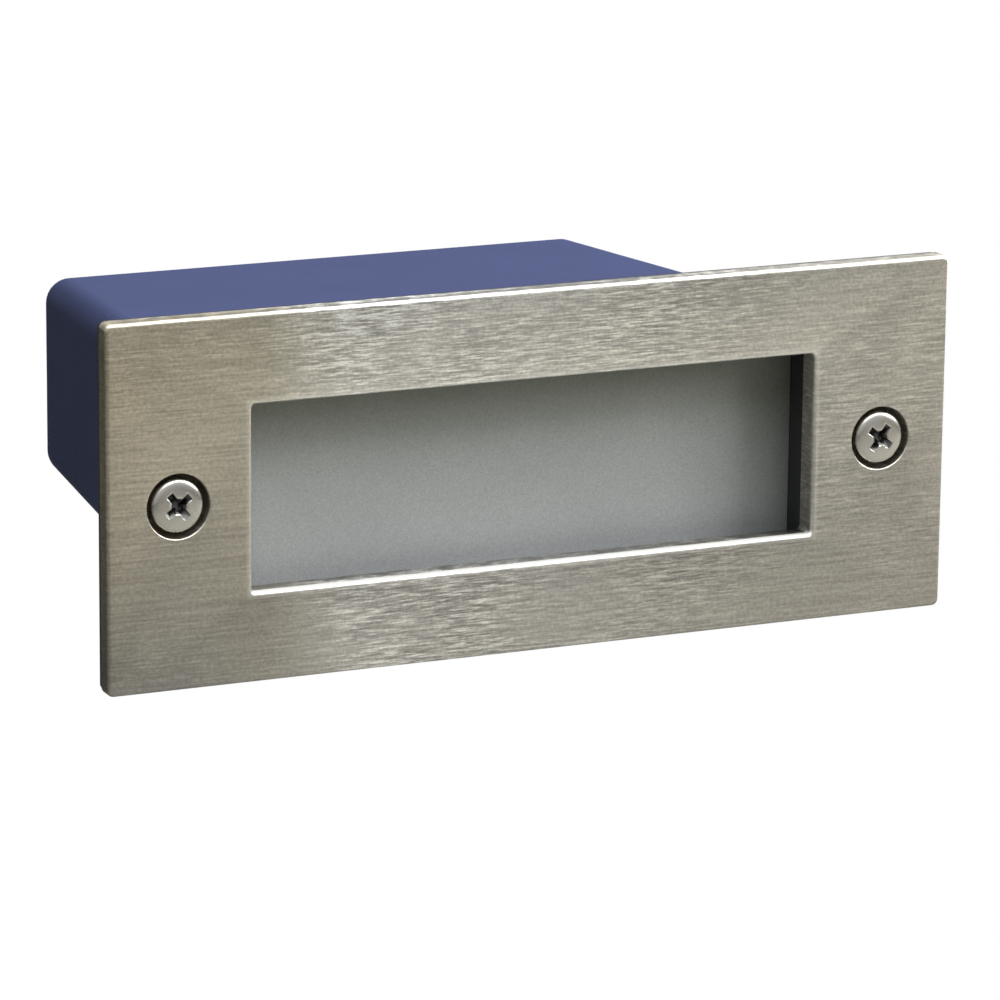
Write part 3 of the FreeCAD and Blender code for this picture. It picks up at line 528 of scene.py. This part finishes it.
def wedge(name, size, at, turn, taper):
    """A block with its length, depth along Y and width, turned about Y, narrower at the back."""
    middle = [c * MM for c in at]
    made = started(bpy.ops.mesh.primitive_cube_add, size=MM, location=middle)
    bpy.ops.transform.resize(value=size, center_override=middle)
    bpy.ops.mesh.select_all(action="DESELECT")
    bpy.ops.object.mode_set(mode="OBJECT")
    for corner in made.data.vertices:
        corner.select = corner.co.y > 0
    bpy.ops.object.mode_set(mode="EDIT")
    bpy.ops.transform.resize(value=(taper[0], 1, taper[1]), center_override=middle)
    bpy.ops.mesh.select_all(action="SELECT")
    bpy.ops.transform.rotate(value=math.radians(turn), orient_axis="Y", center_override=middle)
    return ended(made, name)


def joined(pieces, name):
    """Several meshes as one piece."""
    alone(pieces[0])
    for piece in pieces[1:]:
        piece.select_set(True)
    bpy.ops.object.join()
    pieces[0].name = name
    return pieces[0]


def carved(made, cutters):
    """Cuts the cutters out of a piece, and removes them."""
    for cutter in cutters:
        alone(made)
        applied(made, "BOOLEAN", operation="DIFFERENCE", solver="EXACT",
                material_mode="TRANSFER", object=cutter)
        bpy.data.objects.remove(cutter, do_unlink=True)
    return made


def bored(made, stations, x, z, sides):
    """Bores a piece along Y."""
    return carved(made, [turned("bore", stations, x, z, sides)])


def eased(made, width, segments):
    """Rounds the edges of a hexagon that has just been turned."""
    applied(made, "BEVEL", width=width * MM, segments=segments, limit_method="ANGLE",
            angle_limit=math.radians(NUT_EDGES))


def copied(piece, name, x, z):
    """A copy with its own mesh, set across from the piece by x and z."""
    made = piece.copy()
    made.data = piece.data.copy()
    bpy.context.collection.objects.link(made)
    made.data.transform(Matrix.Translation((x * MM, 0, z * MM)))
    made.name = name
    return made


def finished(piece, body, slot, replaced):
    """Gives a finished piece its slot's material if it has none, puts it on its body, and hides
    the node it stands for.
    """
    if not piece.data.materials:
        piece.data.materials.append(made_materials[slot])
    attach(piece, body)
    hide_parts(replaced)


def set_of(piece, replaced, slot, places):
    """The first piece stands at the first place; copies stand at the others."""
    first = places[0]
    pieces = [piece] + [copied(piece, piece.name + "_" + str(number), x - first[0], z - first[1])
                        for number, (x, z) in enumerate(places[1:], 2)]
    for made in pieces:
        finished(made, "lamp_unit", slot, replaced)


# ---- Face plate and face screws ----

def window_cutter():
    """The window's outline, flared in front of the plate, with the press's round between.

    It stays a little inside the window and in front of the plate, so that no two faces
    of the cut lie in one plane.
    """
    inside = 0.01
    before = 0.005
    depth = 2.5
    flare = 2.5
    flare_depth = 0.6
    level = PLATE_FRONT - before
    back = PLATE_FRONT + depth
    middle = (0, (level + back) / 2 * MM, 0)
    made = started(bpy.ops.mesh.primitive_cube_add, size=MM, location=middle)
    size = (2 * WINDOW_HALF_W - 2 * inside, back - level, 2 * WINDOW_HALF_H - 2 * inside)
    bpy.ops.transform.resize(value=size, center_override=middle)
    bpy.ops.object.mode_set(mode="OBJECT")
    bpy.ops.object.transform_apply(location=True, rotation=True, scale=True)
    bpy.ops.object.mode_set(mode="EDIT")

    def corner(a, b):
        return abs(a.y - b.y) > MM

    def mouth(a, b):
        return all(abs(end.y - level * MM) < SAME_POINT and abs(end.x) < WINDOW_HALF_W * MM
                   and abs(end.z) < WINDOW_HALF_H * MM for end in (a, b))

    chosen_edges(made, corner)
    bpy.ops.mesh.bevel(offset=(WINDOW_CORNER - inside) * MM, segments=6, affect="EDGES")
    bpy.ops.mesh.select_mode(type="FACE")
    bpy.ops.mesh.select_all(action="DESELECT")
    bpy.ops.object.mode_set(mode="OBJECT")
    for face in made.data.polygons:
        face.select = face.normal.y < -0.9
    bpy.ops.object.mode_set(mode="EDIT")
    bpy.ops.mesh.extrude_region_move(TRANSFORM_OT_translate={"value": (0, 0, 0)})
    bpy.ops.transform.resize(value=(1 + flare / WINDOW_HALF_W, 1, 1 + flare / WINDOW_HALF_H),
                             center_override=(0, level * MM, 0))
    bpy.ops.mesh.extrude_region_move(
        TRANSFORM_OT_translate={"value": (0, -flare_depth * MM, 0)})
    chosen_edges(made, mouth)
    bpy.ops.mesh.bevel(offset=PRESS_ROUND * MM, segments=10, affect="EDGES")
    return ended(made, "window_cutter")


def pressed_plate():
    """The face plate with the soft round that pressing leaves on the window's edge."""
    mesh = nodes["face_plate"].data.copy()
    plate = bpy.data.objects.new("pressed_face_plate", mesh)
    bpy.context.collection.objects.link(plate)
    alone(plate)
    bpy.ops.object.mode_set(mode="EDIT")
    bpy.ops.mesh.select_all(action="SELECT")
    bpy.ops.mesh.remove_doubles(threshold=SAME_POINT)
    bpy.ops.object.mode_set(mode="OBJECT")
    cutter = window_cutter()
    cutter.data.materials.append(made_materials["brushed_steel"])
    carved(plate, [cutter])
    bpy.ops.object.shade_smooth_by_angle(angle=math.radians(PLATE_SMOOTH))
    finished(plate, "lamp_unit", "brushed_steel", "face_plate")


def face_screw(name, x, turn):
    """A face screw: domed head with a deep cross recess, M5 thread, pointed end."""
    stations = [(0.5, -5.14), (2.0, -5.12), (3.2, -5.06), (4.0, -4.98), (4.45, -4.88),
                (4.8, -4.68), (5.02, -4.4), (5.12, -4.1), (5.15, -3.7), (5.15, -2.35),
                (5.05, -2.19), (4.85, -2.12), (2.1, -2.12), (2.1, 8.5), (1.55, 9.3), (1.4, 9.38)]
    screw = turned(name, stations, x, 0, sides=96)
    screw.data.materials.append(made_materials["screw_steel"])
    cutters = [wedge("wing", size=(6.3, depth, 1.5), at=(x, -4.2, 0), turn=turn + quarter,
                     taper=(0.5, 0.62)) for quarter, depth in ((0, 2.8), (90, 2.75))]
    cutters.append(turned("pit", [(1.55, -5.4), (0.75, -2.74), (0.3, -2.5)], x, 0, sides=24))
    # The recess and pit take a darker steel: painted shade
    for cutter in cutters:
        cutter.data.materials.append(made_materials["recess_painted_shade"])
    screw = carved(screw, cutters)
    ridge = thread(root=2.05, crest=2.48, pitch=0.8, front=-1.3, back=8.9, x=x, z=0, steps=24)
    ridge.data.materials.append(made_materials["screw_steel"])
    return joined([screw, ridge], name)


def face_screws():
    """The two face screws, each with its cross turned its own way, on its own body."""
    for side, hand, turn in ((-1, "left", 38.0), (1, "right", 52.0)):
        screw = face_screw(hand + "_cross_screw", side * FACE_SCREW_X, turn)
        finished(screw, hand + "_screw", "screw_steel", hand + "_screw")


# ---- Fasteners inside ----

def small_screw(name, stations, place, slots, ridge):
    """A small screw: a turned body, its slot or cross, and its thread."""
    x, z = place
    screw = turned(name, stations, x, z, sides=40)
    cutters = [wedge("slot", size, (x, y, z), turn, taper=(1, 1)) for size, y, turn in slots]
    return joined([carved(screw, cutters), thread(**ridge, x=x, z=z, steps=12)], name)


def fasteners():
    """Screws, studs and nuts that the CAD gives plain shanks."""
    stations = [(0.75, 59.0), (1.0, 59.3), (1.0, 67.8), (2.4, 67.8), (2.5, 67.95), (2.46, 68.4),
                (2.2, 68.85), (1.6, 69.22), (0.6, 69.39)]
    slot = ((5.4, 1.0, 0.7), 69.15, 25)
    ridge = dict(root=0.98, crest=1.24, pitch=0.45, front=59.3, back=67.0)
    piece = small_screw("cover_screw", stations, COVER_SCREWS[0], [slot], ridge)
    set_of(piece, "cover_screws", "zinc_steel", COVER_SCREWS)

    stations = [(0.6, 38.42), (1.3, 38.5), (1.9, 38.8), (2.2, 39.2), (2.3, 39.65), (2.25, 39.9),
                (1.0, 39.9), (1.0, 44.3), (0.75, 44.58)]
    cross = [((2.7, depth, 0.55), 38.6, turn) for turn, depth in ((30, 1.1), (120, 1.04))]
    ridge = dict(root=0.98, crest=1.24, pitch=0.45, front=39.95, back=44.4)
    piece = small_screw("board_screw", stations, BOARD_SCREWS[0], cross, ridge)
    set_of(piece, "board_screws", "zinc_steel", BOARD_SCREWS)

    stations = [(1.45, 51.2), (1.74, 51.45), (1.74, 53.9), (1.97, 54.0), (1.97, 54.82),
                (1.8, 54.99)]
    slot = ((4.4, 1.0, 0.7), 54.7, 10)
    ridge = dict(root=1.72, crest=1.96, pitch=0.5, front=51.45, back=54.0)
    piece = small_screw("terminal_screw", stations, TERMINAL_SCREWS[0], [slot], ridge)
    set_of(piece, "terminal_screws", "zinc_steel", TERMINAL_SCREWS)

    stations = [(1.5, 42.5), (1.7, 42.75), (1.7, 45.8), (3.35, 45.8), (3.5, 46.0), (3.5, 46.95),
                (3.2, 47.4), (2.4, 47.68), (0.9, 47.79)]
    slot = ((7.4, 1.1, 0.8), 47.5, -35)
    ridge = dict(root=1.68, crest=1.96, pitch=0.6, front=42.75, back=45.7)
    piece = small_screw("earth_terminal_screw", stations, EARTH_SCREW, [slot], ridge)
    set_of(piece, "earth_screw", "brass", [EARTH_SCREW])

    stations = [(1.5, -3.5), (1.5, 14.8), (1.28, 15.1), (1.28, 20.6), (1.0, 20.98)]
    ridge = dict(root=1.26, crest=1.49, pitch=0.5, front=15.2, back=20.8)
    piece = small_screw("plate_stud", stations, PLATE_STUDS[0], [], ridge)
    set_of(piece, "plate_studs", "zinc_steel", PLATE_STUDS)

    stations = [(2.55, 17.5), (2.88, 17.75), (2.88, 19.65), (2.55, 19.9)]
    nut = turned("stud_nut", stations, *PLATE_STUDS[0], HEXAGON)
    eased(nut, width=0.12, segments=2)
    bore = [(1.75, 17.3), (1.5, 17.75), (1.5, 19.65), (1.75, 20.1)]
    nut = bored(nut, bore, *PLATE_STUDS[0], sides=32)
    set_of(nut, "stud_nuts", "zinc_steel", PLATE_STUDS)


# ---- Cable gland ----

def gland_pipe(name, stations, bore, sides=GLAND_SIDES, rounding=None):
    """A length of the gland, turned, with its edges eased if it is a hexagon, and bored."""
    made = turned(name, stations, GLAND_X, 0, sides)
    if rounding:
        eased(made, width=rounding, segments=3)
    return bored(made, bore, GLAND_X, 0, GLAND_SIDES)


def gland():
    """The cable gland: threaded body with a hexagon, locknut, and a hexagon cap with a dome."""
    through = [(4.6, 58.0), (4.6, 73.8), (5.9, 73.8), (5.9, 80.5)]
    body = [
        gland_pipe("gland_hexagon", [(11.1, 67.8), (11.5, 68.2), (11.5, 71.9), (11.1, 72.3)],
                   through, HEXAGON, rounding=0.35),
        gland_pipe("gland_stem", [(7.1, 58.8), (7.45, 59.2), (7.45, 67.8)], through),
        gland_pipe("gland_neck", [(6.95, 72.3), (6.95, 79.4), (6.7, 79.8)], through),
        thread(root=7.4, crest=7.95, pitch=1.5, front=59.3, back=67.6, x=GLAND_X, z=0, steps=32),
        thread(root=6.9, crest=7.35, pitch=1.5, front=72.4, back=79.4, x=GLAND_X, z=0, steps=32)]
    finished(joined(body, "gland_threaded_body"), "lamp_unit", "black_nylon", "gland_body")

    nut = gland_pipe("gland_lock_ring", [(11.1, 60.8), (11.5, 61.1), (11.5, 64.4), (11.1, 64.78)],
                     [(8.3, 60.5), (8.0, 61.2), (8.0, 64.4), (8.3, 65.1)], HEXAGON, rounding=0.3)
    finished(nut, "lamp_unit", "black_nylon", "gland_locknut")

    grip = gland_pipe("gland_grip", [(10.0, 72.8), (10.35, 73.15), (10.35, 78.9), (9.3, 79.8)],
                      [(7.4, 72.0), (7.4, 80.3)], HEXAGON, rounding=0.4)
    dome = gland_pipe("gland_dome", [(8.7, 79.5), (8.75, 79.9), (8.6, 80.7), (8.2, 81.5),
                                     (7.6, 82.1), (6.8, 82.6), (6.2, 82.79)],
                      [(7.4, 72.0), (7.4, 79.8), (4.6, 79.8), (4.6, 84.0)])
    finished(joined([grip, dome], "gland_cap"), "lamp_unit", "black_nylon", "gland_nut")


# ---- Lamp chips ----

def chips():
    """Lamp chips: a pale moulded body round a sunken yellow window."""
    edge = 0.12
    rim = 0.3
    sunk = 0.2
    first = -(CHIP_COUNT - 1) / 2 * CHIP_PITCH
    at = (first * MM, CHIP_FRONT * MM, CHIP_ROW * MM)
    made = started(bpy.ops.mesh.primitive_cube_add, size=MM, location=at)
    bpy.ops.transform.resize(value=CHIP_SIZE, center_override=at)
    made.data.materials.append(made_materials["white_nylon"])
    made.data.materials.append(made_materials["lamp_yellow"])
    bpy.ops.mesh.bevel(offset=edge * MM, segments=2)
    bpy.ops.mesh.select_all(action="DESELECT")
    bpy.ops.object.mode_set(mode="OBJECT")
    front = max(made.data.polygons, key=lambda face: -face.normal.y * face.area)
    front.select = True
    bpy.ops.object.mode_set(mode="EDIT")
    bpy.ops.mesh.select_mode(type="FACE")
    bpy.ops.mesh.inset(thickness=rim * MM)
    bpy.ops.transform.translate(value=(0, sunk * MM, 0))
    made.active_material_index = 1
    bpy.ops.object.material_slot_assign()
    bpy.ops.mesh.select_mode(type="VERT")
    places = [(first + number * CHIP_PITCH, CHIP_ROW) for number in range(CHIP_COUNT)]
    set_of(ended(made, "lamp_chip"), "led_chips", "lamp_yellow", places)


# ---- Studio ----

def camera():
    """The camera, from its place, its turn, its tilt downwards and its roll."""
    turn, tilt, roll = (math.radians(a) for a in (CAMERA_TURN, CAMERA_TILT, CAMERA_ROLL))
    forward = Vector((math.sin(turn) * math.cos(tilt), math.cos(turn) * math.cos(tilt),
                      -math.sin(tilt)))
    level = Vector((math.cos(turn), -math.sin(turn), 0))
    down = forward.cross(level)
    right = level * math.cos(roll) + down * math.sin(roll)
    below = down * math.cos(roll) - level * math.sin(roll)
    data = bpy.data.cameras.new("camera")
    data.lens = CAMERA_LENS
    data.sensor_width = CAMERA_SENSOR
    data.clip_start = CAMERA_NEAR
    made = bpy.data.objects.new("camera", data)
    bpy.context.scene.collection.objects.link(made)
    facing = Matrix((right, -below, -forward)).transposed().to_4x4()
    made.matrix_world = Matrix.Translation(CAMERA_AT) @ facing
    bpy.context.scene.camera = made


def softbox(name, place, size, power, colour):
    """A square light that faces the step light."""
    data = bpy.data.lights.new(name, "AREA")
    data.shape = "SQUARE"
    data.size = size
    data.energy = power
    data.color = colour
    made = bpy.data.objects.new(name, data)
    bpy.context.scene.collection.objects.link(made)
    made.location = place
    made.rotation_euler = (-place).to_track_quat("-Z", "Y").to_euler()


def white_behind(tree, surface, white):
    """White to the camera, also through glass, and the given surface to all other light."""
    path = node(tree, "LightPath").outputs
    seen = maths(tree, "MAXIMUM", path["Is Camera Ray"], path["Is Transmission Ray"])
    plain = node(tree, white, {"Color": (1, 1, 1, 1), "Strength": 1.0})
    return node(tree, "MixShader", {0: seen, 1: surface.outputs[0], 2: plain.outputs[0]})


def world():
    """Soft even fill; shiny surfaces see a paler room above and in front than elsewhere."""
    made = bpy.data.worlds.new("studio")
    bpy.context.scene.world = made
    made.use_nodes = True
    tree = made.node_tree
    shiny = node(tree, "LightPath").outputs["Is Glossy Ray"]
    direction = place_on(tree, "Generated")
    walls = spread(tree, direction["Z"], ROOM_RISES, (ROOM_LOW, ROOM_HIGH))
    ceiling = spread(tree, direction["Z"], CEILING_RISES, (0.0, CEILING - ROOM_HIGH))
    far_side = spread(tree, direction["Y"], TURNS_BEHIND, (1.0, BEHIND))
    room = maths(tree, "MULTIPLY", maths(tree, "ADD", walls, ceiling), far_side)
    background = tree.nodes["Background"]
    feed(tree, background, {
        "Color": mixed(tree, shiny, FILL_COLOUR, ROOM_COLOUR),
        "Strength": node(tree, "Mix", {0: shiny, 2: FILL, 3: room}).outputs[0]})
    seen = white_behind(tree, background, "Background")
    feed(tree, tree.nodes["World Output"], {"Surface": seen.outputs[0]})


def floor():
    """A pale floor, darker behind the light and clear from below."""
    bpy.ops.mesh.primitive_plane_add(size=FLOOR_SIZE, location=(0, 0, FLOOR_LEVEL))
    made = bpy.context.object
    made.name = "floor"
    material = bpy.data.materials.new("floor")
    material.use_nodes = True
    tree = material.node_tree
    tree.nodes.remove(tree.nodes["Principled BSDF"])
    darker = spread(tree, place_on(tree)["Y"], FLOOR_BACKWARDS, FLOOR_DARKER)
    diffuse_ray = node(tree, "LightPath").outputs["Is Diffuse Ray"]
    colour = mixed(tree, diffuse_ray, times(tree, darker, FLOOR_COLOUR), FLOOR_BOUNCE)
    above = white_behind(tree, node(tree, "BsdfDiffuse", {"Color": colour}), "Emission")
    below = node(tree, "BsdfTransparent")
    underside = node(tree, "NewGeometry").outputs["Backfacing"]
    one_sided = node(tree, "MixShader", {0: underside, 1: above.outputs[0], 2: below.outputs[0]})
    feed(tree, tree.nodes["Material Output"], {"Surface": one_sided.outputs[0]})
    made.data.materials.append(material)


bpy.context.scene.view_settings.view_transform = "Standard"
made_materials = {slot: make(slot, **settings) for slot, (make, settings) in FINISHES.items()}
dress_nodes()
face_screws()
pressed_plate()
fasteners()
gland()
chips()
camera()
world()
floor()
for settings in SOFTBOXES:
    softbox(*settings)
